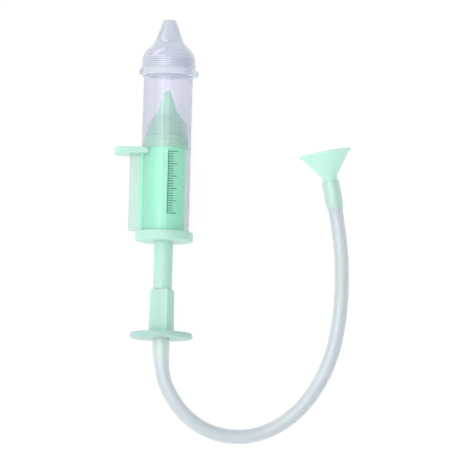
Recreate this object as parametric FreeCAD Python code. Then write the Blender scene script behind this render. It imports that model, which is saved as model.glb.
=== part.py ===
import FreeCAD, Part
import math
import os

# Nasal aspirator: a clear tube with a soft nozzle cap, a syringe barrel inside it, and a hollow
# rod whose thumb disc carries a mouth hose with a funnel mouthpiece.
# It lies on the surface Z = 0 with the tube along +Y and the nozzle forward. X and Y are centred
# on the aspirator without its hose. Every "a" below is a distance along the tube's axis, forward
# from the thumb disc's rear face, and every radius is from that axis.

V = FreeCAD.Vector

# Driving dimensions, in millimetres
DISC_R = 18.0
DISC_THICK = 3.3
GRIP_END_A = 28.0            # front end of the square grip
COLLAR_REAR_A = 55.0
COLLAR_FRONT_A = 60.4
COLLAR_R = 16.45
TAB_REAR_A = 104.3
TAB_FRONT_A = 107.7
BARREL_FRONT_A = 107.9
SEAL_FRONT_A = 113.2
NOSE_TIP_A = 140.6
CAP_REAR_A = 149.2
NECK_FRONT_A = 160.5
NOZZLE_TIP_A = 181.5
NOZZLE_HOLE_R = 1.7
NOZZLE_HOLE_LENGTH = 3.5
LUG_TURN = 15.0              # the cap's two lugs, turned about the axis, in degrees

TUBE_R = 14.0
TUBE_BORE_R = 12.7
BARREL_R = 11.5
BARREL_BORE_R = 10.6
ROD_R = 5.4
ROD_BORE_R = 3.0
FIT = 0.05                   # radial play where one piece is pushed into another
RUNNING = 0.07               # radial play where one piece slides in another

TAB_REACH = 29.0             # from the axis to the tab's outer edge
TAB_DEPTH = 20.0
WEB_REACH = 20.5             # from the axis to the web's outer edge
WEB_THICK = 2.0
WEB_FOOT = 0.4               # how deep the web stands in the inner barrel's wall
RAIL_WIDE = 11.6             # the rail along the web's foot, which fills the tube's slot
BARB_LENGTH = 9.5
HOSE_R = 4.0
HOSE_BORE_R = 2.5
PUSHED_ON = 15.0             # how far the mouthpiece's barb reaches into the hose

PISTON_REAR_A = 62.2
PISTON_FRONT_A = 71.0
RING_REAR_A = 66.2
RING_FRONT_A = 68.4
RING_GROOVE_R = 8.9
SPIGOT_R = 4.2               # the rod's thinner end, in the square grip's socket
SPIGOT_REAR_A = 8.0
AIRWAY_R = 1.8
GRIP_TURN = 22.7             # the square's turn about the axis, in degrees
GRIP_FRONT_SIDE = 10.6
GRIP_REAR_SIDE = 11.2
BARB_R = 3.2

MOUTH_BARB_R = 3.3
RIM_R = 14.9
RIM_THICK = 1.5
FUNNEL_END_D = 13.9          # from the rim's front to where the cone meets the neck
NECK_END_D = 17.0            # from the rim's front to the hose's end
NECK_R = 3.75

AXIS_X = (TAB_REACH - DISC_R) / 2
AXIS_Z = DISC_R
REAR_Y = BARB_LENGTH - (NOZZLE_TIP_A + BARB_LENGTH) / 2

# The hose's route from the thumb disc down to the surface and round to the mouthpiece.
HOSE_ROUTE = [
    (5.5, -86.0, 18.0),
    (5.5, -103.7, 18.0),
    (12.5, -120.2, 16.0),
    (24.3, -132.6, 12.0),
    (38.8, -139.0, 8.0),
    (56.0, -139.7, 5.2),
    (72.3, -133.7, 4.1),
    (86.9, -121.5, 4.1),
    (98.4, -103.3, 4.1),
    (104.8, -83.2, 4.1),
    (107.4, -56.2, 4.7),
    (105.7, -25.0, 12.6),
    (98.9, 6.1, 14.2),
]


def on_axis(a, radius=0.0):
    """A point beside the tube's axis, to the right of it by radius."""
    return V(AXIS_X + radius, REAR_Y + a, AXIS_Z)


def turned(start, steps, place=on_axis, axis=V(0, 1, 0)):
    """A solid of revolution. Points are (a, radius), and a pair of points is an arc through its first."""
    edges = []
    here = place(*start)
    for step in steps + [start]:
        if isinstance(step[0], tuple):
            middle, end = (place(*p) for p in step)
            edges.append(Part.Arc(here, middle, end).toShape())
        else:
            end = place(*step)
            edges.append(Part.LineSegment(here, end).toShape())
        here = end
    return Part.Face(Part.Wire(edges)).revolve(place(0), axis, 360)


def rod_of(radius, from_a, to_a):
    return Part.makeCylinder(radius, to_a - from_a, on_axis(from_a), V(0, 1, 0))


def ribs(inner, outer, first_a, last_a, count):
    """Rounded ribs, evenly spaced, each a half circle on the inner radius."""
    pitch = (last_a - first_a) / (count - 1)
    half = pitch * 0.32
    rings = []
    for i in range(count):
        middle = first_a + i * pitch
        crest = ((middle, outer), (middle + half, inner))
        outline = [(middle - half, inner - 0.3), (middle - half, inner), crest]
        rings.append(turned((middle + half, inner - 0.3), outline))
    return rings


def nozzle_cap():
    bead_front = CAP_REAR_A + 3.9
    outside = [
        (CAP_REAR_A, 15.1),
        ((CAP_REAR_A + 0.7, 15.75), (CAP_REAR_A + 1.9, 15.85)),
        ((CAP_REAR_A + 3.1, 15.75), (bead_front, 15.25)),
        (156.0, 15.25),
        ((161.8, 13.95), (165.4, 11.4)),
        ((167.4, 9.1), (170.1, 7.6)),
        (NOZZLE_TIP_A - 0.6, 3.7),
        ((NOZZLE_TIP_A - 0.15, 3.45), (NOZZLE_TIP_A, 3.0)),
    ]
    inside = [
        (NOZZLE_TIP_A, NOZZLE_HOLE_R),
        (NOZZLE_TIP_A - NOZZLE_HOLE_LENGTH, NOZZLE_HOLE_R),
        (170.2, 5.3),
        ((166.9, 7.1), (164.4, 10.0)),
        ((162.8, 11.8), (160.9, 12.85)),
        (153.3, 12.9),
        (152.8, 14.05),
    ]
    cap = turned((CAP_REAR_A, 14.05), outside + inside)
    lugs = []
    for side in (-1, 1):
        lug = Part.makeBox(3.4, 3.7, 6.0, V(-1.7, 0, -3.0))
        lug = lug.makeFillet(1.2, [e for e in lug.Edges if abs(e.tangentAt(e.FirstParameter).z) > 0.9])
        lug.translate(V(AXIS_X + side * 15.5, REAR_Y + CAP_REAR_A + 0.15, AXIS_Z))
        lug.rotate(on_axis(0), V(0, 1, 0), LUG_TURN)
        lugs.append(lug)
    hollow = rod_of(14.05, CAP_REAR_A - 1, 152.8)
    return cap.fuse(lugs).cut(hollow).removeSplitter()


def block_at_side(wide, from_a, to_a):
    """A block through the tube's wall on the finger rest's side."""
    block = Part.makeBox(4.0, to_a - from_a, wide)
    block.translate(V(AXIS_X - TUBE_R - 1, REAR_Y + from_a, AXIS_Z - wide / 2))
    return block


def outer_tube():
    rear_a = COLLAR_FRONT_A - 2.8
    shoulder_a = 152.5
    body = turned((rear_a, TUBE_BORE_R), [
        (rear_a, TUBE_R),
        (shoulder_a - 0.6, TUBE_R),
        ((shoulder_a - 0.2, TUBE_R - 0.2), (shoulder_a, TUBE_R - 0.6)),
        (shoulder_a, 12.2),
        (NECK_FRONT_A - 0.4, 12.2),
        (NECK_FRONT_A, 11.8),
        (NECK_FRONT_A, 10.9),
        (150.0, 10.9),
        (148.2, TUBE_BORE_R),
    ])
    neck = body.fuse(ribs(12.2, 12.7, 154.4, 159.2, 4))
    slot = block_at_side(RAIL_WIDE + 0.3, rear_a - 1, TAB_FRONT_A + 0.2)
    return neck.cut(slot).removeSplitter()


def inner_barrel():
    rear_a = COLLAR_FRONT_A - 2.8
    barrel = turned((rear_a, BARREL_BORE_R), [
        (rear_a, BARREL_R),
        (BARREL_FRONT_A - 0.4, BARREL_R),
        (BARREL_FRONT_A, BARREL_R - 0.4),
        (BARREL_FRONT_A, BARREL_BORE_R),
    ])
    groove = Part.makeBox(WEB_FOOT + 1.0, BARREL_FRONT_A - rear_a + 2, WEB_THICK)
    groove.translate(V(AXIS_X - BARREL_R - 1.0, REAR_Y + rear_a - 1, AXIS_Z - WEB_THICK / 2))
    return barrel.cut(groove)


def finger_rest():
    """Tab, web and the rail that fills the tube's slot."""
    length = TAB_REACH - 8.0
    tab = Part.makeBox(length, TAB_FRONT_A - TAB_REAR_A, TAB_DEPTH)
    tab.translate(V(AXIS_X - TAB_REACH, REAR_Y + TAB_REAR_A, AXIS_Z - TAB_DEPTH / 2))
    corners = [e for e in tab.Edges if e.CenterOfMass.x < AXIS_X - TAB_REACH + 0.01
               and abs(e.tangentAt(e.FirstParameter).y) > 0.9]
    tab = tab.makeFillet(3.5, corners)
    rims = [e for e in tab.Edges if e.CenterOfMass.x < AXIS_X - TAB_REACH + 4.0
            and abs(e.tangentAt(e.FirstParameter).y) < 0.1]
    tab = tab.makeFillet(0.7, rims)
    tab = tab.cut(rod_of(TUBE_R + FIT, TAB_REAR_A - 1, TAB_FRONT_A + 1))
    web_rear_a = COLLAR_FRONT_A + 0.1
    web = Part.makeBox(WEB_REACH - BARREL_R + WEB_FOOT, TAB_FRONT_A - web_rear_a, WEB_THICK)
    web.translate(V(AXIS_X - WEB_REACH, REAR_Y + web_rear_a, AXIS_Z - WEB_THICK / 2))
    rail = rod_of(TUBE_R + 0.2, web_rear_a, TAB_FRONT_A)
    rail = rail.cut(rod_of(BARREL_R + FIT, web_rear_a - 1, TAB_FRONT_A + 1))
    rail = rail.common(block_at_side(RAIL_WIDE, web_rear_a, TAB_FRONT_A))
    return tab.fuse([web, rail]).removeSplitter()


def nose_cone():
    """Its spigot plugs the barrel, and its fine hole stands above what collects round it."""
    return turned((NOSE_TIP_A, 0.8), [
        (NOSE_TIP_A, 1.1),
        ((NOSE_TIP_A - 0.1, 1.4), (NOSE_TIP_A - 0.5, 1.6)),
        (128.4, 5.9),
        ((126.3, 7.4), (124.0, 8.4)),
        (114.4, 9.4),
        (114.4, 11.9),
        (SEAL_FRONT_A, 11.9),
        (SEAL_FRONT_A, BARREL_BORE_R - FIT),
        (103.0, BARREL_BORE_R - FIT),
        (103.0, 7.3),
        (117.5, 7.3),
        (127.0, 4.6),
        (138.0, 0.8),
    ])


def nose_dome():
    return turned((114.5, 10.7), [
        (114.5, 11.7),
        (118.5, 11.6),
        ((122.7, 10.6), (125.4, 8.6)),
        ((126.3, 7.8), (127.9, 6.9)),
        (127.9, 6.4),
        ((126.0, 7.75), (124.0, 8.6)),
        ((121.2, 10.2), (118.3, 10.6)),
    ])


def barrel_seal():
    ring = turned((BARREL_FRONT_A + 0.05, BARREL_BORE_R), [
        (BARREL_FRONT_A + 0.05, 12.1),
        (SEAL_FRONT_A - 0.05, 12.1),
        (SEAL_FRONT_A - 0.05, BARREL_BORE_R),
    ])
    return ring.fuse(ribs(12.1, 12.65, BARREL_FRONT_A + 0.7, SEAL_FRONT_A - 0.7, 4)).removeSplitter()


def filter_foam():
    return rod_of(7.25, 103.6, 117.0)


def piston():
    return turned((PISTON_REAR_A, ROD_R), [
        (PISTON_REAR_A, 9.9),
        (PISTON_REAR_A + 0.4, 10.3),
        (RING_REAR_A, 10.3),
        (RING_REAR_A, RING_GROOVE_R),
        (RING_FRONT_A, RING_GROOVE_R),
        (RING_FRONT_A, 10.3),
        (PISTON_FRONT_A - 0.8, 10.3),
        (PISTON_FRONT_A, 9.5),
        (PISTON_FRONT_A, ROD_BORE_R),
        (PISTON_FRONT_A - 3.0, ROD_BORE_R),
        (PISTON_FRONT_A - 3.0, ROD_R),
    ])


def piston_ring():
    rear_a = RING_REAR_A + 0.05
    front_a = RING_FRONT_A - 0.05
    middle_a = (rear_a + front_a) / 2
    return turned((rear_a, RING_GROOVE_R + 0.02), [
        (rear_a, 10.1),
        ((middle_a, BARREL_BORE_R - FIT), (front_a, 10.1)),
        (front_a, RING_GROOVE_R + 0.02),
    ])


def collar():
    spigot_a = COLLAR_FRONT_A + 1.0
    rear_a = COLLAR_FRONT_A - 2.8
    return turned((COLLAR_REAR_A, ROD_R + RUNNING), [
        (COLLAR_REAR_A, COLLAR_R - 1.2),
        ((COLLAR_REAR_A + 0.35, COLLAR_R - 0.35), (COLLAR_REAR_A + 1.2, COLLAR_R)),
        (COLLAR_FRONT_A - 0.6, COLLAR_R),
        ((COLLAR_FRONT_A - 0.18, COLLAR_R - 0.18), (COLLAR_FRONT_A, COLLAR_R - 0.6)),
        (COLLAR_FRONT_A, TUBE_R + FIT),
        (rear_a, TUBE_R + FIT),
        (rear_a, BARREL_BORE_R - FIT),
        (spigot_a, BARREL_BORE_R - FIT),
        (spigot_a, ROD_R + RUNNING),
    ])


def rod():
    """A tube from inside the square grip to inside the piston."""
    return turned((SPIGOT_REAR_A, AIRWAY_R), [
        (SPIGOT_REAR_A, SPIGOT_R),
        (GRIP_END_A, SPIGOT_R),
        (GRIP_END_A, ROD_R),
        (PISTON_FRONT_A - 3.0, ROD_R),
        (PISTON_FRONT_A - 3.0, ROD_BORE_R),
        (GRIP_END_A + 4.0, ROD_BORE_R),
        (GRIP_END_A + 2.0, AIRWAY_R),
    ])


def square_at(a, side):
    """A square with softened corners across the axis, turned as the grip is."""
    half = side / 2
    cut = 0.5
    corners = [(half, half - cut), (half - cut, half), (cut - half, half), (-half, half - cut),
               (-half, cut - half), (cut - half, -half), (half - cut, -half), (half, cut - half)]
    turn = math.radians(GRIP_TURN)
    points = []
    for x, z in corners:
        across = x * math.cos(turn) - z * math.sin(turn)
        up = x * math.sin(turn) + z * math.cos(turn)
        points.append(on_axis(a) + V(across, 0, up))
    return Part.makePolygon(points + points[:1])


def thumb_handle():
    """Square grip, thumb disc and hose barb, moulded in one with a socket for the rod."""
    ends = [square_at(DISC_THICK - 1, GRIP_REAR_SIDE), square_at(GRIP_END_A, GRIP_FRONT_SIDE)]
    grip = Part.makeLoft(ends, True)
    rim = DISC_THICK / 2
    disc = turned((0, 0), [
        (0, DISC_R - 1.2),
        ((rim, DISC_R), (DISC_THICK, DISC_R - 1.2)),
        (DISC_THICK, 0),
    ])
    barb = turned((0.5, 0), [
        (0.5, BARB_R - 0.3),
        (-4.6, BARB_R - 0.3),
        (-4.6, BARB_R),
        (-BARB_LENGTH, BARB_R - 0.7),
        (-BARB_LENGTH, 0),
    ])
    solid = disc.fuse([grip, barb])
    socket = rod_of(SPIGOT_R, SPIGOT_REAR_A, GRIP_END_A + 1)
    airway = rod_of(AIRWAY_R, -BARB_LENGTH - 1, SPIGOT_REAR_A + 1)
    return solid.cut(socket).cut(airway).removeSplitter()


def tube_path(points):
    """Straight runs joined by tangent arcs, each as large as its two runs allow."""
    corners = [V(*p) for p in points]
    edges = []
    here = corners[0]
    smallest = None
    for before, corner, after in zip(corners, corners[1:], corners[2:]):
        back = (before - corner).normalize()
        ahead = (after - corner).normalize()
        reach = 0.45 * min((before - corner).Length, (after - corner).Length)
        half_turn = (math.pi - back.getAngle(ahead)) / 2
        radius = reach / math.tan(half_turn)
        smallest = radius if smallest is None else min(radius, smallest)
        start = corner + back * reach
        end = corner + ahead * reach
        inward = (back + ahead).normalize()
        middle = corner + inward * (radius / math.cos(half_turn) - radius)
        edges.append(Part.LineSegment(here, start).toShape())
        edges.append(Part.Arc(start, middle, end).toShape())
        here = end
        print("hose arc: turn %.1f deg, radius %.1f mm" % (math.degrees(2 * half_turn), radius))
    edges.append(Part.LineSegment(here, corners[-1]).toShape())
    print("smallest hose radius %.1f mm" % smallest)
    return Part.Wire(edges)


HOSE_END = V(*HOSE_ROUTE[-1])
MOUTH_AXIS = (HOSE_END - V(*HOSE_ROUTE[-2])).normalize()
MOUTH_ASIDE = V(0, 0, 1).cross(MOUTH_AXIS).normalize()


def from_rim(d, radius=0.0):
    """A point behind the mouthpiece's rim by d, to one side of its axis."""
    return HOSE_END + MOUTH_AXIS * (NECK_END_D - d) + MOUTH_ASIDE * radius


def mouthpiece():
    barb_end = NECK_END_D + PUSHED_ON
    return turned((0, 13.7), [
        ((0.15, 14.4), (0.75, RIM_R)),
        ((1.35, 14.5), (RIM_THICK, 13.6)),
        (FUNNEL_END_D - 0.8, 4.6),
        ((FUNNEL_END_D, 4.0), (FUNNEL_END_D + 1.2, NECK_R)),
        (NECK_END_D, NECK_R),
        (NECK_END_D, MOUTH_BARB_R - 0.3),
        (barb_end - 5.5, MOUTH_BARB_R - 0.3),
        (barb_end - 5.5, MOUTH_BARB_R),
        (barb_end, MOUTH_BARB_R - 0.7),
        (barb_end, AIRWAY_R),
        (FUNNEL_END_D + 2.0, AIRWAY_R),
        ((FUNNEL_END_D - 0.6, 2.3), (FUNNEL_END_D - 2.0, 3.6)),
        (1.0, 12.6),
    ], from_rim, MOUTH_AXIS)


def hose():
    path = tube_path(HOSE_ROUTE)
    start = V(*HOSE_ROUTE[0])
    section = Part.Wire(Part.makeCircle(HOSE_R, start, V(0, -1, 0)))
    solid = path.makePipeShell([section], True, False)
    expected = math.pi * HOSE_R ** 2 * path.Length
    print("hose %.1f mm long, %.0f mm3, should be %.0f mm3" % (path.Length, solid.Volume, expected))
    inside = HOSE_R - 0.4
    root = turned((0, HOSE_BORE_R), [
        (0, 4.8),
        (-BARB_LENGTH + 2, 4.7),
        (-BARB_LENGTH - 6.0, inside),
        (-BARB_LENGTH - 6.0, HOSE_BORE_R),
    ])
    sleeve_end = NECK_END_D + PUSHED_ON
    sleeve = turned((NECK_END_D, HOSE_BORE_R), [
        (NECK_END_D, 5.0),
        (sleeve_end - 3.0, 4.9),
        (sleeve_end + 2.0, inside),
        (sleeve_end + 2.0, HOSE_BORE_R),
    ], from_rim, MOUTH_AXIS)
    root_bore = rod_of(BARB_R + FIT, -BARB_LENGTH - 0.1, 1)
    bore_end = from_rim(sleeve_end + 0.1)
    mouth_bore = Part.makeCylinder(MOUTH_BARB_R + FIT, PUSHED_ON + 1.1, bore_end, MOUTH_AXIS)
    return solid.fuse([root, sleeve]).cut(root_bore).cut(mouth_bore).removeSplitter()


PIECES = {
    "nozzle_cap": nozzle_cap,
    "outer_tube": outer_tube,
    "inner_barrel": inner_barrel,
    "finger_rest": finger_rest,
    "nose_cone": nose_cone,
    "nose_dome": nose_dome,
    "barrel_seal": barrel_seal,
    "filter_foam": filter_foam,
    "piston": piston,
    "piston_ring": piston_ring,
    "collar": collar,
    "rod": rod,
    "thumb_handle": thumb_handle,
    "hose": hose,
    "mouthpiece": mouthpiece,
}

os.makedirs("parts", exist_ok=True)
for name, make in PIECES.items():
    shape = make()
    shape.exportStep("parts/%s.step" % name)
    box = shape.BoundBox
    print("%-13s %d solid, valid %s, %8.1f mm3, X %.2f..%.2f Y %.2f..%.2f Z %.2f..%.2f" % (
        name, len(shape.Solids), shape.isValid(), shape.Volume,
        box.XMin, box.XMax, box.YMin, box.YMax, box.ZMin, box.ZMax))
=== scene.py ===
import math

import bmesh
import bpy
from mathutils import Matrix, Vector


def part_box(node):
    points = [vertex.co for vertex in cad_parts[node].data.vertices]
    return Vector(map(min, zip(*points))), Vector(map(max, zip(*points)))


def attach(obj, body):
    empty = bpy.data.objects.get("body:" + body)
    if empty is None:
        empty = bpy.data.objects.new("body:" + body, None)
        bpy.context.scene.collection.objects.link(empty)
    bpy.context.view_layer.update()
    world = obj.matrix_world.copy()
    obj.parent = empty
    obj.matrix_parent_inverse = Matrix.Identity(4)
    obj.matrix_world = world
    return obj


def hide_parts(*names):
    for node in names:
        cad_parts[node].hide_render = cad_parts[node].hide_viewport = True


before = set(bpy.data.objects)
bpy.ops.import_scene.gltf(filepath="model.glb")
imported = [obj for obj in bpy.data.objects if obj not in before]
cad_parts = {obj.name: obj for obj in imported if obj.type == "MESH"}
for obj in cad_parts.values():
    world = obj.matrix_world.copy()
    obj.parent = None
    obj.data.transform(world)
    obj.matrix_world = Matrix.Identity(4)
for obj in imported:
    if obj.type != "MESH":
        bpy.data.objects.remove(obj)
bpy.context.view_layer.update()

MM = 0.001

# Places along the tube's axis are in millimetres forward from the thumb disc's rear face, as "a".
NOZZLE_TIP_A = 181.5
NECK_FRONT_A = 160.5
BEAD_FRONT_A = 153.1
CAP_REAR_A = 149.2
NOSE_TIP_A = 140.6
SEAL_FRONT_A = 113.2
BARREL_FRONT_A = 107.9
TAB_FRONT_A = 107.7
TAB_REAR_A = 104.3
COLLAR_FRONT_A = 60.4
COLLAR_REAR_A = 55.0
TUBE_REAR_A = 57.6
ROD_FRONT_A = 68.0
GRIP_END_A = 28.0
SPIGOT_REAR_A = 8.0          # the rod's rear end, inside the grip
DISC_THICK = 3.3
BARB_END_A = -9.5
FIRST_RIB_A = 153.9

TUBE_R = 14.0
TUBE_BORE_R = 12.7
NECK_R = 11.98
NECK_BORE_R = 10.8
NECK_RIBS = 6
RIB_R = 12.7
RIB_HALF = 0.28
RIB_PITCH = 1.15
CAP_R = 15.25
CAP_BORE_R = 12.9
BEAD_R = 15.85
NOZZLE_HOLE_R = 1.7
NOZZLE_HOLE_DEEP = 3.5
LUG_TURN = 15.0              # degrees that the cap's lugs are turned about the tube's axis
BARREL_R = 11.5
BARREL_BORE_R = 10.6
RAIL_WIDE = 11.6
SEAL_R = 12.1
SEAL_RIB_R = 12.65
COLLAR_R = 16.45
PISTON_R = 10.3
PISTON_GROOVE_R = 8.9
PISTON_RING_R = 10.55
ROD_R = 5.4
ROD_BORE_R = 3.0
SPIGOT_R = 4.2
AIRWAY_R = 1.8
BARB_NECK_R = 2.9
SNUG = 0.05                  # gap between two parts that fit together

disc_low, disc_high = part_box("thumb_handle")
cap_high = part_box("nozzle_cap")[1]
disc_middle = (disc_low + disc_high) / 2
AXIS = Vector((disc_middle.x, cap_high.y - NOZZLE_TIP_A * MM, disc_middle.z))
DISC_R = (disc_high.x - disc_low.x) / 2 / MM

# The hose's route, in metres: the same points as the part's own route.
HOSE_ROUTE = [
    (0.0055, -0.0860, 0.0180),
    (0.0055, -0.1037, 0.0180),
    (0.0125, -0.1202, 0.0160),
    (0.0243, -0.1326, 0.0120),
    (0.0388, -0.1390, 0.0080),
    (0.0560, -0.1397, 0.0052),
    (0.0723, -0.1337, 0.0041),
    (0.0869, -0.1215, 0.0041),
    (0.0984, -0.1033, 0.0041),
    (0.1048, -0.0832, 0.0041),
    (0.1074, -0.0562, 0.0047),
    (0.1057, -0.0250, 0.0126),
    (0.0989, 0.0061, 0.0142),
]
HOSE_R = 4.0
HOSE_FULLER = 0.1            # how much the visual hose stands proud of its real radius
HOSE_BORE_R = 2.9
NECK_END_D = 17.0            # from the mouthpiece's rim to the hose's end, along its own axis
PUSHED_ON = 15.0             # how far the mouthpiece's barb reaches into the hose
RIM_R = 14.9
FUNNEL_NECK_R = 4.2

SHARP_DEGREES = 32.0         # an edge that turns more than this stays crisp
FILLET_STEPS = 7


# ---- camera ----

def add_camera():
    """A long lens high above the rear end, rolled a little so that the tube leans to the right."""
    target = Vector((0.0422, -0.0227, AXIS.z))
    distance = 3.515
    width_seen = 0.2589
    elevation = math.radians(83.7)
    lean = math.radians(1.54)
    away = Vector((0, -math.cos(elevation), math.sin(elevation)))
    level_right = Vector((1, 0, 0))
    level_up = Vector((0, math.sin(elevation), math.cos(elevation)))
    right = level_right * math.cos(lean) + level_up * math.sin(lean)
    up = level_up * math.cos(lean) - level_right * math.sin(lean)
    data = bpy.data.cameras.new("camera")
    data.sensor_width = 36.0
    data.lens = data.sensor_width * distance / width_seen
    data.clip_end = 20.0
    camera = bpy.data.objects.new("camera", data)
    turn = Matrix((right, up, away)).transposed().to_4x4()
    camera.matrix_world = Matrix.Translation(target + away * distance) @ turn
    bpy.context.scene.collection.objects.link(camera)
    bpy.context.scene.camera = camera


# ---- mesh helpers ----

class Axis:
    """A line with two sides, so that (a, radius, angle) names a point in millimetres."""

    def __init__(self, origin, ahead, aside):
        self.origin = origin
        self.ahead = ahead.normalized()
        self.aside = (aside - self.ahead * aside.dot(self.ahead)).normalized()
        self.above = self.aside.cross(self.ahead)

    def at(self, a, radius, angle):
        """The point so named, in metres."""
        out = self.aside * math.cos(angle) + self.above * math.sin(angle)
        return self.origin + self.ahead * (a * MM) + out * (radius * MM)


BARREL = Axis(AXIS, Vector((0, 1, 0)), Vector((1, 0, 0)))
hose_end = Vector(HOSE_ROUTE[-1])
mouth_ahead = (hose_end - Vector(HOSE_ROUTE[-2])).normalized()
MOUTH = Axis(hose_end + mouth_ahead * (NECK_END_D * MM), -mouth_ahead, Vector((1, 0, 0)))


def filleted(corners):
    """The outline with each corner (a, radius, fillet) rounded by an arc. No fillet leaves it sharp."""
    points = []
    count = len(corners)
    for i, corner in enumerate(corners):
        here = Vector(corner[:2])
        fillet = corner[2] if len(corner) > 2 else 0.0
        back = Vector(corners[i - 1][:2]) - here
        ahead = Vector(corners[(i + 1) % count][:2]) - here
        half = back.angle(ahead) / 2
        if fillet <= 0 or half > math.radians(89.5):
            points.append(here)
            continue
        reach = min(fillet / math.tan(half), 0.49 * back.length, 0.49 * ahead.length)
        radius = reach * math.tan(half)
        inward = (back.normalized() + ahead.normalized()).normalized()
        centre = here + inward * (radius / math.sin(half))
        first = here + back.normalized() * reach - centre
        last = here + ahead.normalized() * reach - centre
        turn = first.angle_signed(last)
        for k in range(FILLET_STEPS + 1):
            angle = -turn * k / FILLET_STEPS
            points.append(centre + Matrix.Rotation(angle, 2) @ first)
    return points


def skin(bm, ring, following):
    """Faces between two rings that have as many points as each other."""
    count = len(ring)
    for k in range(count):
        j = (k + 1) % count
        bm.faces.new((ring[k], ring[j], following[j], following[k]))


def finish_mesh(bm, name, sharp=SHARP_DEGREES):
    """Welds and shades a mesh, and puts it in the scene as a piece."""
    bmesh.ops.remove_doubles(bm, verts=bm.verts, dist=0.002 * MM)
    bmesh.ops.dissolve_degenerate(bm, edges=bm.edges, dist=0.001 * MM)
    bmesh.ops.recalc_face_normals(bm, faces=bm.faces)
    mesh = bpy.data.meshes.new(name)
    bm.to_mesh(mesh)
    bm.free()
    mesh.shade_smooth()
    mesh.set_sharp_from_angle(angle=math.radians(sharp))
    piece = bpy.data.objects.new(name, mesh)
    bpy.context.scene.collection.objects.link(piece)
    return piece


def lathe(name, corners, axis=BARREL, around=96):
    """A closed body of revolution from one closed outline."""
    angles = [2 * math.pi * k / around for k in range(around)]
    bm = bmesh.new()
    rings = []
    for point in filleted(corners):
        rings.append([bm.verts.new(axis.at(point.x, point.y, angle)) for angle in angles])
    for ring, following in zip(rings, rings[1:] + rings[:1]):
        skin(bm, ring, following)
    return finish_mesh(bm, name)


def prism(name, outline, low_a, high_a, round_off=0.0):
    """An outline across the tube's axis, as (x, z) in millimetres, drawn out from low_a to high_a."""
    bm = bmesh.new()
    ends = []
    for a in (low_a, high_a):
        ends.append([bm.verts.new(AXIS + Vector((x, a, z)) * MM) for x, z in outline])
    bm.faces.new(ends[0])
    bm.faces.new(list(reversed(ends[1])))
    skin(bm, ends[1], ends[0])
    if round_off > 0:
        rims = [e for e in bm.edges if abs(e.verts[0].co.y - e.verts[1].co.y) < 1e-7]
        bmesh.ops.bevel(bm, geom=rims, offset=round_off * MM, segments=4, profile=0.5, affect="EDGES")
    return finish_mesh(bm, name)


def combine(piece, other, operation):
    """Cuts other out of piece or joins it on, and deletes other."""
    tool = piece.modifiers.new("combine", "BOOLEAN")
    tool.operation = operation
    tool.object = other
    tool.solver = "EXACT"
    graph = bpy.context.evaluated_depsgraph_get()
    made = bpy.data.meshes.new_from_object(piece.evaluated_get(graph), depsgraph=graph)
    piece.modifiers.clear()
    piece.data = made
    made.shade_smooth()
    made.set_sharp_from_angle(angle=math.radians(SHARP_DEGREES))
    bpy.data.objects.remove(other)


def box_piece(low, high):
    """A box from low to high, each (x, a, z) in millimetres from the tube's axis."""
    outline = [(low[0], low[2]), (high[0], low[2]), (high[0], high[2]), (low[0], high[2])]
    return prism("box", outline, low[1], high[1])


def soften(piece, width, segments):
    """Rounds every edge of a piece that turns more than 30 degrees."""
    bm = bmesh.new()
    bm.from_mesh(piece.data)
    edges = [edge for edge in bm.edges if edge.calc_face_angle(0.0) > math.radians(30.0)]
    bmesh.ops.bevel(bm, geom=edges, offset=width * MM, segments=segments, profile=0.5, affect="EDGES")
    bm.to_mesh(piece.data)
    bm.free()
    piece.data.shade_smooth()


def turn_about_axis(piece, degrees):
    """Turns a piece's mesh about the tube's axis."""
    turn = Matrix.Rotation(math.radians(degrees), 4, Vector((0, 1, 0)))
    piece.data.transform(Matrix.Translation(AXIS) @ turn @ Matrix.Translation(-AXIS))


def rib_corners(inner, outer, first_a, last_a, count):
    """Corners of an outline that runs forward along evenly spaced rounded ribs."""
    pitch = (last_a - first_a) / (count - 1)
    half = pitch * 0.34
    corners = []
    for i in range(count):
        a = first_a + i * pitch
        corners += [
            (a - half, inner, 0.12),
            (a - half * 0.55, outer, 0.3),
            (a + half * 0.55, outer, 0.3),
            (a + half, inner, 0.12),
        ]
    return corners


# ---- materials ----
# Mint plastic varies between a darker and a lighter colour. Colours outside linear() are linear.

# Sockets of a colour mixing node, by number because its other kinds of socket share their names.
MIX_FIRST, MIX_SECOND, MIX_RESULT = 6, 7, 2
PLASTIC_IOR = 1.49
PLASTIC_SPECULAR = 0.4
COAT_ROUGH = 0.06


def new_material(name):
    """An empty material, its node tree and its output node."""
    material = bpy.data.materials.new(name)
    material.use_nodes = True
    nodes = material.node_tree.nodes
    nodes.clear()
    out = nodes.new("ShaderNodeOutputMaterial")
    return material, material.node_tree, out


def node(tree, kind, **values):
    """A new shader node, with its settings and sockets given by name."""
    made = tree.nodes.new(kind)
    for key, value in values.items():
        if hasattr(made, key):
            setattr(made, key, value)
        else:
            made.inputs[key.replace("_", " ")].default_value = value
    return made


def linear(red, green, blue):
    """An sRGB colour, 0 to 255, as a linear shader colour."""
    def one(value):
        value /= 255
        return value / 12.92 if value <= 0.04045 else ((value + 0.055) / 1.055) ** 2.4
    return (one(red), one(green), one(blue), 1.0)


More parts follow.
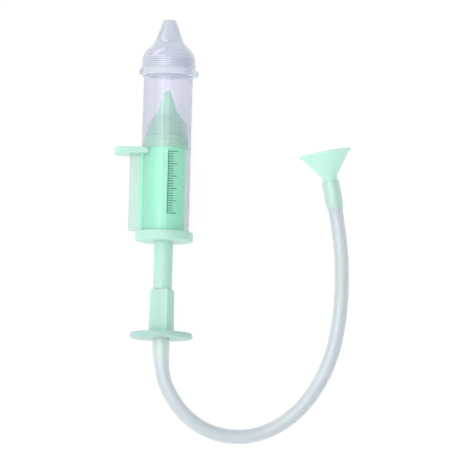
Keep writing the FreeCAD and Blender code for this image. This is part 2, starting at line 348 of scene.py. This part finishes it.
def surface_detail(tree, shader, scale, strength, rough_low, rough_high):
    """Faint moulding waviness in the normal and a little unevenness in the gloss."""
    place = node(tree, "ShaderNodeTexCoord")
    noise = node(tree, "ShaderNodeTexNoise", Scale=scale, Detail=4.0, Roughness=0.55)
    tree.links.new(place.outputs["Object"], noise.inputs["Vector"])
    bump = node(tree, "ShaderNodeBump", Strength=strength, Distance=0.05 * MM)
    tree.links.new(noise.outputs["Fac"], bump.inputs["Height"])
    tree.links.new(bump.outputs["Normal"], shader.inputs["Normal"])
    gloss = node(tree, "ShaderNodeMapRange")
    gloss.inputs["To Min"].default_value = rough_low
    gloss.inputs["To Max"].default_value = rough_high
    tree.links.new(noise.outputs["Fac"], gloss.inputs["Value"])
    tree.links.new(gloss.outputs["Result"], shader.inputs["Roughness"])
    return place


def tinted_by_noise(tree, shader, place, scale, dark, light):
    """Slight colour variation through the material."""
    noise = node(tree, "ShaderNodeTexNoise", Scale=scale, Detail=3.0)
    tree.links.new(place.outputs["Object"], noise.inputs["Vector"])
    blend = node(tree, "ShaderNodeMix", data_type="RGBA")
    tree.links.new(noise.outputs["Fac"], blend.inputs["Factor"])
    blend.inputs[MIX_FIRST].default_value = dark
    blend.inputs[MIX_SECOND].default_value = light
    tree.links.new(blend.outputs[MIX_RESULT], shader.inputs["Base Color"])


def mint_plastic(name, dark, light, scatter, rough, glow=0.0):
    """Moulded mint plastic, a little translucent. The glow stands in for light from behind it."""
    material, tree, out = new_material(name)
    shader = node(tree, "ShaderNodeBsdfPrincipled")
    shader.inputs["IOR"].default_value = PLASTIC_IOR
    shader.inputs["Subsurface Weight"].default_value = scatter
    shader.inputs["Subsurface Radius"].default_value = (0.35, 1.0, 0.65)
    shader.inputs["Subsurface Scale"].default_value = 4.5 * MM
    shader.inputs["Emission Color"].default_value = (0.05, 1.0, 0.36, 1.0)
    shader.inputs["Emission Strength"].default_value = glow
    shader.inputs["Specular IOR Level"].default_value = PLASTIC_SPECULAR
    place = surface_detail(tree, shader, 260.0, 0.10, *rough)
    tinted_by_noise(tree, shader, place, 60.0, dark, light)
    tree.links.new(shader.outputs["BSDF"], out.inputs["Surface"])
    return material


def clear_material(name, tint, clearness, rough, ior, lamp_tint, wave=0.08, scale=120.0,
                   soaks=None, coat=0.0):
    """See-through plastic or silicone. Lamp light passes straight through it, so what it holds stays lit.

    wave and scale are how strong and how fine its surface waviness is, soaks is the (colour, density)
    of the absorption in its wall, and coat is the weight of a glossy skin.
    """
    material, tree, out = new_material(name)
    shader = node(tree, "ShaderNodeBsdfPrincipled")
    shader.inputs["Base Color"].default_value = tint
    shader.inputs["Transmission Weight"].default_value = clearness
    shader.inputs["IOR"].default_value = ior
    shader.inputs["Coat Weight"].default_value = coat
    shader.inputs["Coat Roughness"].default_value = COAT_ROUGH
    surface_detail(tree, shader, scale, wave, *rough)
    through = node(tree, "ShaderNodeBsdfTransparent", Color=lamp_tint)
    rays = node(tree, "ShaderNodeLightPath")
    blend = node(tree, "ShaderNodeMixShader")
    tree.links.new(rays.outputs["Is Shadow Ray"], blend.inputs["Fac"])
    tree.links.new(shader.outputs["BSDF"], blend.inputs[1])
    tree.links.new(through.outputs["BSDF"], blend.inputs[2])
    tree.links.new(blend.outputs["Shader"], out.inputs["Surface"])
    if soaks:
        volume = node(tree, "ShaderNodeVolumeAbsorption", Color=soaks[0], Density=soaks[1])
        tree.links.new(volume.outputs["Volume"], out.inputs["Volume"])
    return material


def hose_material():
    """Translucent hose; the mint barbs inside it show through at both ends."""
    plain = linear(221, 229, 232)
    material = clear_material("hose_clear", plain, 0.45, (0.28, 0.36), 1.41,
                              (0.86, 0.89, 0.91, 1), 0.02, 40, coat=0.6)
    tree = material.node_tree
    shader = next(made for made in tree.nodes if made.type == "BSDF_PRINCIPLED")
    place = node(tree, "ShaderNodeTexCoord")
    root_tint, sleeve_tint = linear(232, 247, 243), linear(213, 241, 232)
    source = None
    ends = ((HOSE_ROUTE[0], 6.0, 18.0, root_tint), (HOSE_ROUTE[-1], 14.0, 17.0, sleeve_tint))
    for end, solid_mm, fade_mm, tint in ends:
        away = node(tree, "ShaderNodeVectorMath", operation="DISTANCE")
        away.inputs[1].default_value = end
        tree.links.new(place.outputs["Object"], away.inputs[0])
        near = node(tree, "ShaderNodeMapRange", interpolation_type="SMOOTHSTEP")
        near.inputs["From Min"].default_value = solid_mm * MM
        near.inputs["From Max"].default_value = fade_mm * MM
        near.inputs["To Min"].default_value = 1.0
        near.inputs["To Max"].default_value = 0.0
        tree.links.new(away.outputs["Value"], near.inputs["Value"])
        blend = node(tree, "ShaderNodeMix", data_type="RGBA")
        tree.links.new(near.outputs["Result"], blend.inputs[0])
        blend.inputs[MIX_FIRST].default_value = plain
        blend.inputs[MIX_SECOND].default_value = tint
        if source:
            tree.links.new(source, blend.inputs[MIX_FIRST])
        source = blend.outputs[MIX_RESULT]
    tree.links.new(source, shader.inputs["Base Color"])
    return material


def foam_material():
    """White foam with small open pores."""
    material, tree, out = new_material("white_foam")
    shader = node(tree, "ShaderNodeBsdfPrincipled", Roughness=0.9)
    place = node(tree, "ShaderNodeTexCoord")
    pores = node(tree, "ShaderNodeTexVoronoi", Scale=1400.0)
    tree.links.new(place.outputs["Object"], pores.inputs["Vector"])
    ramp = node(tree, "ShaderNodeMapRange")
    ramp.inputs["To Min"].default_value = 0.45
    ramp.inputs["To Max"].default_value = 0.95
    tree.links.new(pores.outputs["Distance"], ramp.inputs["Value"])
    tree.links.new(ramp.outputs["Result"], shader.inputs["Base Color"])
    bump = node(tree, "ShaderNodeBump", Strength=0.8, Distance=0.3 * MM)
    tree.links.new(pores.outputs["Distance"], bump.inputs["Height"])
    tree.links.new(bump.outputs["Normal"], shader.inputs["Normal"])
    tree.links.new(shader.outputs["BSDF"], out.inputs["Surface"])
    return material


def ink_material():
    """Dull dark green printing ink."""
    material, tree, out = new_material("printed_ink")
    shader = node(tree, "ShaderNodeBsdfPrincipled")
    place = surface_detail(tree, shader, 900.0, 0.1, 0.45, 0.65)
    tinted_by_noise(tree, shader, place, 500.0, linear(58, 96, 84), linear(74, 114, 101))
    tree.links.new(shader.outputs["BSDF"], out.inputs["Surface"])
    return material


MINT = mint_plastic("mint_plastic", linear(184, 224, 210), linear(192, 232, 218), 0.6, (0.34, 0.46))
# The disc's mint is the same plastic painted darker as shade, because the thin disc faces down and gets
# less light from above.
SHADED_DISC_MINT = mint_plastic("disc_mint_painted_shade", linear(171, 202, 198), linear(179, 210, 206), 0.6, (0.34, 0.46))
FUNNEL_MINT = mint_plastic("funnel_mint", linear(194, 234, 219), linear(202, 241, 226), 0.6, (0.38, 0.5))
BARREL_MINT = mint_plastic("barrel_mint", linear(124, 240, 184), linear(136, 246, 196), 0.3,
                           (0.16, 0.24), 0.20)
RAIL_MINT = mint_plastic("rail_mint", linear(148, 243, 200), linear(158, 250, 210), 0.3, (0.3, 0.4), 0.06)
NOSE_MINT = mint_plastic("nose_mint", linear(159, 213, 187), linear(169, 221, 195), 0.3, (0.3, 0.4), 0.06)
SOFT_MINT = mint_plastic("soft_mint", linear(160, 219, 188), linear(170, 227, 196), 0.3, (0.35, 0.5), 0.06)
WHITE_SEAL = mint_plastic("white_seal", linear(224, 228, 228), linear(236, 240, 240), 0.3, (0.4, 0.5))
FROST = mint_plastic("frosted_ribs", linear(232, 238, 242), linear(240, 246, 250), 0.3, (0.15, 0.25))
# The tube's absorption is partly its own faint lilac tint and partly painted shade: it is made strong to
# stand in for the shadow that the tube casts on the floor beneath it, which the glowing floor does not
# show.
TUBE_TINT_AND_SHADE = ((0.42, 0.45, 0.60, 1), 225.0)
CAP_SOAK = ((0.50, 0.56, 0.66, 1), 115.0)
CLEAR = clear_material("clear_tube", linear(250, 250, 253), 0.88, (0.01, 0.05), 1.40,
                       (0.97, 0.97, 0.99, 1), soaks=TUBE_TINT_AND_SHADE)
SOFT_CLEAR = clear_material("soft_clear", linear(236, 238, 243), 0.74, (0.03, 0.08), 1.22,
                            (0.92, 0.94, 0.97, 1), soaks=CAP_SOAK, coat=0.8)
BEAD_CLEAR = clear_material("bead_clear", linear(235, 240, 245), 0.60, (0.15, 0.22), 1.25,
                            (0.94, 0.95, 0.97, 1))
DOME_CLEAR = clear_material("dome_clear", linear(210, 240, 226), 0.8, (0.08, 0.14), 1.40,
                            (0.88, 0.97, 0.93, 1))
HOSE_CLEAR = hose_material()
WEB_CLEAR = clear_material("web_clear", linear(207, 226, 221), 0.6, (0.12, 0.2), 1.45,
                           (0.88, 0.96, 0.93, 1))
FOAM = foam_material()
INK = ink_material()


def dress(piece, material, body, slot, *nodes):
    """Gives a piece its material and its body, and hides the frame's nodes that it replaces. The slot is
    not used.
    """
    piece.data.materials.clear()
    piece.data.materials.append(material)
    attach(piece, body)
    if nodes:
        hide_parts(*nodes)


# ---- the pieces ----

def make_nozzle_cap():
    """A soft dome that runs out into the nozzle, on a bead with two grip lugs."""
    cap = lathe("nozzle_cap_soft", [
        (BEAD_FRONT_A + 0.02, 14.1, 0.2),
        (BEAD_FRONT_A + 0.02, CAP_R, 0.2),
        (161.6, CAP_R, 12.7),
        (169.0, 8.0, 12.0),
        (NOZZLE_TIP_A, 3.6, 0.75),
        (NOZZLE_TIP_A, NOZZLE_HOLE_R, 0.3),
        (NOZZLE_TIP_A - NOZZLE_HOLE_DEEP, NOZZLE_HOLE_R, 0.8),
        (168.8, 5.9, 8.0),
        (161.3, CAP_BORE_R, 5.0),
        (BEAD_FRONT_A + 0.3, CAP_BORE_R, 0.3),
    ], around=128)
    dress(cap, SOFT_CLEAR, "nozzle", "soft_clear", "nozzle_cap")
    bead = lathe("nozzle_cap_bead", [
        (CAP_REAR_A, TUBE_R + SNUG, 0.2),
        (CAP_REAR_A, BEAD_R, 1.8),
        (BEAD_FRONT_A, BEAD_R, 1.2),
        (BEAD_FRONT_A, TUBE_R + SNUG, 0.2),
    ], around=128)
    lug_foot, lug_top, lug_half = 14.6, 17.1, 3.0
    for side in (-1, 1):
        inner, outer = sorted((side * lug_foot, side * lug_top))
        lug = box_piece((inner, CAP_REAR_A + 0.25, -lug_half), (outer, BEAD_FRONT_A - 0.15, lug_half))
        soften(lug, 1.1, 5)
        turn_about_axis(lug, LUG_TURN)
        combine(bead, lug, "UNION")
    dress(bead, BEAD_CLEAR, "nozzle", "soft_clear", "nozzle_cap")


def make_outer_tube():
    """The clear tube, stepped in to a neck at the front, and the neck's frosted ribs."""
    shoulder_a = 152.5
    corners = [
        (TUBE_REAR_A, TUBE_BORE_R),
        (TUBE_REAR_A, TUBE_R, 0.3),
        (shoulder_a, TUBE_R, 0.6),
        (shoulder_a, NECK_R, 0.3),
        (NECK_FRONT_A, NECK_R, 0.5),
        (NECK_FRONT_A, NECK_BORE_R, 0.5),
        (153.6, NECK_BORE_R, 2.0),
        (149.9, TUBE_BORE_R, 3.0),
    ]
    tube = lathe("outer_tube_clear", corners, around=128)
    # The slot is a little narrower than the rail in it, so that no light shows between them.
    half = RAIL_WIDE / 2 - 0.04
    slot = box_piece((-TUBE_R - 1, TUBE_REAR_A - 1, -half), (-TUBE_BORE_R + 1.6, TAB_FRONT_A + 0.2, half))
    combine(tube, slot, "DIFFERENCE")
    dress(tube, CLEAR, "barrel", "clear_plastic", "outer_tube")
    for i in range(NECK_RIBS):
        a = FIRST_RIB_A + i * RIB_PITCH
        rib = lathe("neck_rib", [
            (a - RIB_HALF, NECK_R + 0.02),
            (a - RIB_HALF, RIB_R, 0.2),
            (a + RIB_HALF, RIB_R, 0.2),
            (a + RIB_HALF, NECK_R + 0.02),
        ])
        dress(rib, FROST, "barrel", "clear_plastic", "outer_tube")


def make_inner_barrel():
    """The mint syringe barrel inside the clear tube."""
    corners = [
        (TUBE_REAR_A, BARREL_BORE_R, 0.2),
        (TUBE_REAR_A, BARREL_R, 0.3),
        (BARREL_FRONT_A, BARREL_R, 0.6),
        (BARREL_FRONT_A, BARREL_BORE_R, 0.2),
    ]
    barrel = lathe("inner_barrel_mint", corners)
    dress(barrel, BARREL_MINT, "barrel", "mint_barrel", "inner_barrel")


def make_finger_rest():
    """A flat tab that wraps a little round the tube, a thin web under it, and a rail in the tube's slot."""
    reach, half_deep, corner_r = 29.0, 10.0, 3.5
    wrap_r = TUBE_R + SNUG
    corner_x, corner_z = corner_r - reach, half_deep - corner_r
    quarter = [math.pi / 2 * k / 8 for k in range(9)]
    outline = []
    for angle in quarter:
        outline.append((corner_x - corner_r * math.cos(angle), corner_z + corner_r * math.sin(angle)))
    wrap = math.asin(half_deep / wrap_r)
    wrap_steps = 24
    for k in range(wrap_steps + 1):
        angle = wrap - 2 * wrap * k / wrap_steps
        outline.append((-wrap_r * math.cos(angle), wrap_r * math.sin(angle)))
    for angle in quarter:
        outline.append((corner_x - corner_r * math.sin(angle), -corner_z - corner_r * math.cos(angle)))
    tab = prism("finger_rest_tab", outline, TAB_REAR_A, TAB_FRONT_A, 0.6)
    dress(tab, MINT, "barrel", "mint_plastic", "finger_rest")
    web_edge, web_foot, web_half = 20.5, 11.9, 1.0
    web = box_piece((-web_edge, COLLAR_FRONT_A + 0.1, -web_half), (-web_foot, TAB_REAR_A, web_half))
    soften(web, 0.3, 3)
    web.name = "finger_rest_web"
    dress(web, WEB_CLEAR, "barrel", "clear_plastic", "finger_rest")
    rail_low_r, rail_high_r = BARREL_R + SNUG, TUBE_R + 0.2
    outline = []
    for r, order in ((rail_low_r, 1), (rail_high_r, -1)):
        spread = math.asin(RAIL_WIDE / 2 / r)
        for k in range(9):
            angle = order * spread * (1 - k / 4)
            outline.append((-r * math.cos(angle), r * math.sin(angle)))
    rail = prism("finger_rest_rail", outline, COLLAR_FRONT_A + 0.1, TAB_FRONT_A - 0.1)
    dress(rail, RAIL_MINT, "barrel", "mint_barrel", "finger_rest")


def make_nose():
    """The cone on the barrel's front end, with its clear dome, ribbed seal and foam plug."""
    spigot_rear_a, flange_front_a = 103.0, 114.4
    flange_r, hole_r, foam_bore_r = 11.9, 0.8, 7.3
    cone = lathe("nose_cone_mint", [
        (spigot_rear_a, foam_bore_r, 0.3),
        (spigot_rear_a, BARREL_BORE_R - SNUG, 0.3),
        (SEAL_FRONT_A, BARREL_BORE_R - SNUG),
        (SEAL_FRONT_A, flange_r, 0.2),
        (flange_front_a, flange_r, 0.2),
        (flange_front_a, 9.4, 0.3),
        (124.4, 8.4, 3.0),
        (128.4, 5.9, 3.0),
        (NOSE_TIP_A, 1.45, 0.5),
        (NOSE_TIP_A, hole_r, 0.1),
        (138.0, hole_r, 0.5),
        (127.0, 4.6, 2.0),
        (117.5, foam_bore_r, 2.0),
    ])
    dress(cone, NOSE_MINT, "barrel", "mint_barrel", "nose_cone")
    dome = lathe("nose_dome_clear", [
        (114.5, 10.7, 0.2),
        (114.5, 11.7, 0.2),
        (121.3, 11.6, 5.0),
        (126.0, 7.6, 3.0),
        (127.9, 6.7, 0.1),
        (127.9, 6.4, 0.1),
        (125.2, 7.75, 3.0),
        (120.7, 10.6, 4.0),
    ])
    dress(dome, DOME_CLEAR, "barrel", "clear_plastic", "nose_dome")
    seal = lathe("barrel_seal_ribs", [
        (BARREL_FRONT_A + SNUG, BARREL_BORE_R),
        (BARREL_FRONT_A + SNUG, SEAL_R, 0.1),
        *rib_corners(SEAL_R, SEAL_RIB_R, BARREL_FRONT_A + 0.7, SEAL_FRONT_A - 0.7, 4),
        (SEAL_FRONT_A - SNUG, SEAL_R, 0.1),
        (SEAL_FRONT_A - SNUG, BARREL_BORE_R),
    ])
    dress(seal, SOFT_MINT, "barrel", "mint_soft", "barrel_seal")
    foam_rear_a, foam_front_a, foam_r = 103.6, 117.0, 7.2
    foam = lathe("filter_foam_plug", [
        (foam_rear_a, 0.0),
        (foam_rear_a, foam_r, 0.6),
        (foam_front_a, foam_r, 0.6),
        (foam_front_a, 0.0),
    ])
    dress(foam, FOAM, "barrel", "foam", "filter_foam")


def make_collar():
    """The cap over the tube's rear end, with a plug in the barrel that guides the rod."""
    plug_front_a = COLLAR_FRONT_A + 1.0
    guide_r = ROD_R + 0.07
    collar = lathe("collar_cap", [
        (COLLAR_REAR_A, guide_r, 0.3),
        (COLLAR_REAR_A, COLLAR_R, 1.1),
        (COLLAR_FRONT_A, COLLAR_R, 0.6),
        (COLLAR_FRONT_A, TUBE_R + SNUG, 0.1),
        (TUBE_REAR_A, TUBE_R + SNUG),
        (TUBE_REAR_A, BARREL_BORE_R - SNUG),
        (plug_front_a, BARREL_BORE_R - SNUG, 0.3),
        (plug_front_a, guide_r, 0.2),
    ])
    dress(collar, MINT, "barrel", "mint_plastic", "collar")


def make_plunger():
    """The hollow rod, and the piston with its ring on the rod's front end."""
    piston_rear_a, piston_front_a = 62.2, 71.0
    ring_rear_a, ring_front_a = 66.2, 68.4
    ring_bore_r = PISTON_GROOVE_R + 0.02
    piston = lathe("piston_head", [
        (piston_rear_a, ROD_R),
        (piston_rear_a, PISTON_R, 0.4),
        (ring_rear_a, PISTON_R, 0.15),
        (ring_rear_a, PISTON_GROOVE_R),
        (ring_front_a, PISTON_GROOVE_R),
        (ring_front_a, PISTON_R, 0.15),
        (piston_front_a, PISTON_R, 0.9),
        (piston_front_a, ROD_BORE_R, 0.3),
        (ROD_FRONT_A, ROD_BORE_R),
        (ROD_FRONT_A, ROD_R),
    ])
    dress(piston, NOSE_MINT, "plunger", "mint_barrel", "piston")
    ring = lathe("piston_ring_seal", [
        (ring_rear_a + SNUG, ring_bore_r, 0.2),
        (ring_rear_a + SNUG, PISTON_RING_R, 0.9),
        (ring_front_a - SNUG, PISTON_RING_R, 0.9),
        (ring_front_a - SNUG, ring_bore_r, 0.2),
    ])
    dress(ring, WHITE_SEAL, "plunger", "seal_rubber", "piston_ring")
    rod = lathe("plunger_rod", [
        (SPIGOT_REAR_A, AIRWAY_R),
        (SPIGOT_REAR_A, SPIGOT_R, 0.2),
        (GRIP_END_A, SPIGOT_R),
        (GRIP_END_A, ROD_R, 0.15),
        (ROD_FRONT_A, ROD_R),
        (ROD_FRONT_A, ROD_BORE_R),
        (GRIP_END_A + 4.0, ROD_BORE_R, 1.0),
        (GRIP_END_A + 2.0, AIRWAY_R, 1.0),
    ])
    dress(rod, MINT, "plunger", "mint_plastic", "rod")


def make_square_grip():
    """A square with softened edges, turned about the axis, that widens a little towards the disc."""
    turn = math.radians(22.7)
    rear_half, front_half = 5.6, 5.3
    bm = bmesh.new()
    rings = []
    for a, half in ((DISC_THICK - 0.5, rear_half), (GRIP_END_A, front_half)):
        ring = []
        for x, z in ((half, -half), (half, half), (-half, half), (-half, -half)):
            across = x * math.cos(turn) - z * math.sin(turn)
            up = x * math.sin(turn) + z * math.cos(turn)
            ring.append(bm.verts.new(AXIS + Vector((across, a, up)) * MM))
        rings.append(ring)
    bm.faces.new(rings[0])
    bm.faces.new(list(reversed(rings[1])))
    skin(bm, rings[1], rings[0])
    bmesh.ops.bevel(bm, geom=list(bm.edges), offset=0.45 * MM, segments=4, profile=0.5, affect="EDGES")
    return finish_mesh(bm, "grip")


def make_thumb_handle():
    """The thumb disc with its hose barb behind it, and the square grip that holds the rod."""
    barb_step_a = -4.6
    disc = lathe("thumb_disc_and_barb", [
        (BARB_END_A, AIRWAY_R, 0.2),
        (BARB_END_A, 2.5, 0.2),
        (barb_step_a, 3.2, 0.1),
        (barb_step_a, BARB_NECK_R, 0.1),
        (0.0, BARB_NECK_R, 0.5),
        (0.0, DISC_R - 0.7, 0.9),
        (DISC_THICK / 2, DISC_R, 1.2),
        (DISC_THICK, DISC_R - 0.7, 0.9),
        (DISC_THICK, AIRWAY_R),
    ])
    # The disc gets the darker mint copy, which is painted shade.
    dress(disc, SHADED_DISC_MINT, "plunger", "mint_plastic", "thumb_handle")
    grip = make_square_grip()
    for name, low_a, high_a, r in (("socket", SPIGOT_REAR_A, GRIP_END_A + 1, SPIGOT_R),
                                   ("airway", 2.5, SPIGOT_REAR_A + 1, AIRWAY_R)):
        bore = lathe(name, [(low_a, 0.0), (low_a, r), (high_a, r), (high_a, 0.0)])
        combine(grip, bore, "DIFFERENCE")
    dress(grip, MINT, "plunger", "mint_plastic", "thumb_handle")


def make_mouthpiece():
    """A funnel with a barb in the hose's end. Its outline runs from the rim, along its own axis."""
    barb_end = NECK_END_D + PUSHED_ON
    barb_step = barb_end - 5.5
    funnel = lathe("mouthpiece_funnel", [
        (0.0, 13.5, 0.3),
        (0.0, RIM_R, 0.6),
        (1.5, RIM_R, 0.6),
        (1.55, 13.8, 0.3),
        (13.9, 4.35, 1.5),
        (15.0, FUNNEL_NECK_R, 1.0),
        (NECK_END_D, FUNNEL_NECK_R, 0.1),
        (NECK_END_D, 3.0, 0.1),
        (barb_step, 3.0, 0.1),
        (barb_step, 3.3, 0.1),
        (barb_end, 2.6, 0.2),
        (barb_end, AIRWAY_R, 0.2),
        (14.5, AIRWAY_R, 1.5),
        (11.9, 3.5, 2.0),
        (0.9, 12.5, 1.0),
    ], axis=MOUTH)
    dress(funnel, FUNNEL_MINT, "mouthpiece", "mint_plastic", "mouthpiece")
    return funnel


def hose_line():
    """Evenly close points along the route's smooth curve."""
    data = bpy.data.curves.new("hose_route", "CURVE")
    data.dimensions = "3D"
    data.resolution_u = 20
    spline = data.splines.new("NURBS")
    spline.points.add(len(HOSE_ROUTE) - 1)
    for point, place in zip(spline.points, HOSE_ROUTE):
        point.co = (*place, 1.0)
    spline.order_u = 3
    spline.use_endpoint_u = True
    guide = bpy.data.objects.new("hose_route", data)
    bpy.context.scene.collection.objects.link(guide)
    graph = bpy.context.evaluated_depsgraph_get()
    mesh = bpy.data.meshes.new_from_object(guide.evaluated_get(graph), depsgraph=graph)
    points = [v.co.copy() for v in mesh.vertices]
    bpy.data.meshes.remove(mesh)
    bpy.data.objects.remove(guide)
    return points


def smooth_step(value, low, high):
    """From 0 at low to 1 at high, with a soft start and end."""
    t = min(max((value - low) / (high - low), 0.0), 1.0)
    return t * t * (3 - 2 * t)


def make_hose():
    """A hose along the route, fuller where it is stretched over the barbs at its two ends."""
    line = hose_line()
    along = [0.0]
    for before, here in zip(line, line[1:]):
        along.append(along[-1] + (here - before).length / MM)
    total = along[-1]
    around = 40
    tangents = []
    for i in range(len(line)):
        ahead = line[min(i + 1, len(line) - 1)] - line[max(i - 1, 0)]
        tangents.append(ahead.normalized())
    tangents[0] = (Vector(HOSE_ROUTE[1]) - Vector(HOSE_ROUTE[0])).normalized()
    tangents[-1] = mouth_ahead
    side = Vector((1, 0, 0))
    bm = bmesh.new()
    outer, inner = [], []
    for place, tangent, s in zip(line, tangents, along):
        side = (side - tangent * side.dot(tangent)).normalized()
        other = tangent.cross(side)
        root = 1 - smooth_step(s, 5.0, 19.0)
        sleeve = 1 - smooth_step(total - s, 11.5, 18.5)
        radius = HOSE_R + HOSE_FULLER + 0.8 * root + 1.0 * sleeve
        bore = HOSE_BORE_R + 0.45 * root + 0.5 * sleeve
        rings = []
        for r in (radius, bore):
            ring = []
            for k in range(around):
                angle = 2 * math.pi * k / around
                out = side * math.cos(angle) + other * math.sin(angle)
                ring.append(bm.verts.new(place + out * r * MM))
            rings.append(ring)
        outer.append(rings[0])
        inner.append(rings[1])
    for rows in (outer, inner):
        for ring, following in zip(rows, rows[1:]):
            skin(bm, ring, following)
    for end in (0, -1):
        skin(bm, outer[end], inner[end])
    hose = finish_mesh(bm, "hose_tube", 50.0)
    dress(hose, HOSE_CLEAR, "plunger", "clear_hose", "hose")


def make_print():
    """A plain graduated scale on the tube."""
    lowest_a, highest_a = 70.0, 105.0
    count = 26
    short, long, half_wide, edge_wide = 2.8, 5.0, 0.22, 0.45
    start_angle = math.radians(82.5)
    bm = bmesh.new()

    def patch(a_low, a_high, from_angle, to_angle):
        """A thin raised rectangle bent round the tube."""
        steps = 6
        low_r, high_r = TUBE_R + 0.005, TUBE_R + 0.03
        grid = {}
        for i in range(steps + 1):
            angle = from_angle + (to_angle - from_angle) * i / steps
            for j, a in enumerate((a_low, a_high)):
                for k, r in enumerate((low_r, high_r)):
                    grid[i, j, k] = bm.verts.new(BARREL.at(a, r, angle))
        for i in range(steps):
            for j, k, m, n in ((0, 0, 1, 0), (0, 1, 1, 1), (0, 0, 0, 1), (1, 0, 1, 1)):
                bm.faces.new((grid[i, j, k], grid[i + 1, j, k], grid[i + 1, m, n], grid[i, m, n]))
        for i in (0, steps):
            bm.faces.new((grid[i, 0, 0], grid[i, 1, 0], grid[i, 1, 1], grid[i, 0, 1]))

    for i in range(count):
        a = lowest_a + (highest_a - lowest_a) * i / (count - 1)
        length = long if i % 5 == 0 else short
        patch(a - half_wide, a + half_wide, start_angle, start_angle - length / TUBE_R)
    edge_angle = start_angle + edge_wide / TUBE_R
    patch(lowest_a - half_wide, highest_a + half_wide, edge_angle, start_angle)
    marks = finish_mesh(bm, "scale_print")
    dress(marks, INK, "barrel", "mint_plastic")


# ---- stage ----

# What the lamps face, in metres.
TUBE_MIDDLE = (0.0055, -0.02, 0.018)
TUBE_FRONT = (0.0055, 0.087, 0.018)
TABLE_MIDDLE = (0.03, -0.02, 0.0)


def add_stage():
    """A white floor in a bright white tent, a little brighter at the upper left.

    Diffuse light sees the tent darker on its far side than mirrored and transmitted light does.
    """
    brightest, far_diffuse, far_mirrored = 1.05, 0.43, 0.70
    world = bpy.data.worlds.new("studio")
    bpy.context.scene.world = world
    world.use_nodes = True
    tree = world.node_tree
    place = node(tree, "ShaderNodeTexCoord")
    towards = node(tree, "ShaderNodeVectorMath", operation="DOT_PRODUCT")
    towards.inputs[1].default_value = Vector((-0.50, -0.34, 0.79)).normalized()
    tree.links.new(place.outputs["Generated"], towards.inputs[0])
    falloff = node(tree, "ShaderNodeMapRange", interpolation_type="SMOOTHSTEP")
    falloff.inputs["From Min"].default_value = -0.5
    falloff.inputs["From Max"].default_value = 1.0
    falloff.inputs["To Min"].default_value = far_diffuse
    falloff.inputs["To Max"].default_value = brightest
    tree.links.new(towards.outputs["Value"], falloff.inputs["Value"])
    mirrored = node(tree, "ShaderNodeMapRange")
    mirrored.inputs["From Min"].default_value = far_diffuse
    mirrored.inputs["From Max"].default_value = brightest
    mirrored.inputs["To Min"].default_value = far_mirrored
    mirrored.inputs["To Max"].default_value = brightest
    tree.links.new(falloff.outputs["Result"], mirrored.inputs["Value"])
    rays = node(tree, "ShaderNodeLightPath")
    seen = node(tree, "ShaderNodeMix", data_type="FLOAT")
    tree.links.new(rays.outputs["Is Diffuse Ray"], seen.inputs[0])
    tree.links.new(mirrored.outputs["Result"], seen.inputs[2])
    tree.links.new(falloff.outputs["Result"], seen.inputs[3])
    background = tree.nodes["Background"]
    background.inputs["Color"].default_value = (1.0, 1.0, 1.0, 1.0)
    tree.links.new(seen.outputs[0], background.inputs["Strength"])

    bpy.ops.mesh.primitive_plane_add(size=12.0, location=(0, 0, -0.0002))
    floor = bpy.context.object
    floor.name = "floor"
    material, tree, out = new_material("floor_white")
    matte = node(tree, "ShaderNodeBsdfDiffuse", Color=(0.25, 0.25, 0.25, 1))
    glow = node(tree, "ShaderNodeEmission", Strength=0.82)
    both = node(tree, "ShaderNodeAddShader")
    tree.links.new(matte.outputs["BSDF"], both.inputs[0])
    tree.links.new(glow.outputs["Emission"], both.inputs[1])
    tree.links.new(both.outputs["Shader"], out.inputs["Surface"])
    floor.data.materials.append(material)


def add_softbox(name, place, target, size, radiance, hidden_from):
    """A soft rectangular lamp that faces target, set by how bright its face is.

    Its first size lies across the tube and its second as near to along the tube as its face allows.
    It is unseen by the kinds of ray in hidden_from.
    """
    data = bpy.data.lights.new(name, "AREA")
    data.shape = "RECTANGLE"
    data.size, data.size_y = size
    data.energy = radiance * math.pi * size[0] * size[1]
    light = bpy.data.objects.new(name, data)
    bpy.context.scene.collection.objects.link(light)
    away = (Vector(place) - Vector(target)).normalized()
    across = Vector((0, 1, 0)).cross(away).normalized()
    turn = Matrix((across, away.cross(across), away)).transposed().to_4x4()
    light.matrix_world = Matrix.Translation(place) @ turn
    for kind in hidden_from:
        setattr(light, "visible_" + kind, False)


add_camera()
mouthpiece = make_mouthpiece()
make_hose()
make_nozzle_cap()
make_outer_tube()
make_inner_barrel()
make_finger_rest()
make_nose()
make_collar()
make_plunger()
make_thumb_handle()
make_print()
add_stage()
add_softbox("key_left", (-0.60, -0.28, 1.21), TABLE_MIDDLE, (1.5, 0.8), 1.1, ["glossy"])
add_softbox("strip_mirrored", (-0.52, 0.12, 1.42), TUBE_MIDDLE, (0.42, 1.6), 1.95, ["diffuse"])
add_softbox("fill_mirrored", (-0.84, 0.12, 1.24), TUBE_MIDDLE, (0.8, 1.6), 1.35, ["diffuse"])
add_softbox("sheen_mirrored", (0.0, 0.45, 4.5), TABLE_MIDDLE, (1.5, 3.0), 2.2, ["diffuse", "transmission"])
add_softbox("front_mirrored", (-0.95, 1.25, 0.40), TUBE_FRONT, (0.7, 1.7), 2.3, ["diffuse"])
bpy.context.scene.view_settings.view_transform = "Standard"
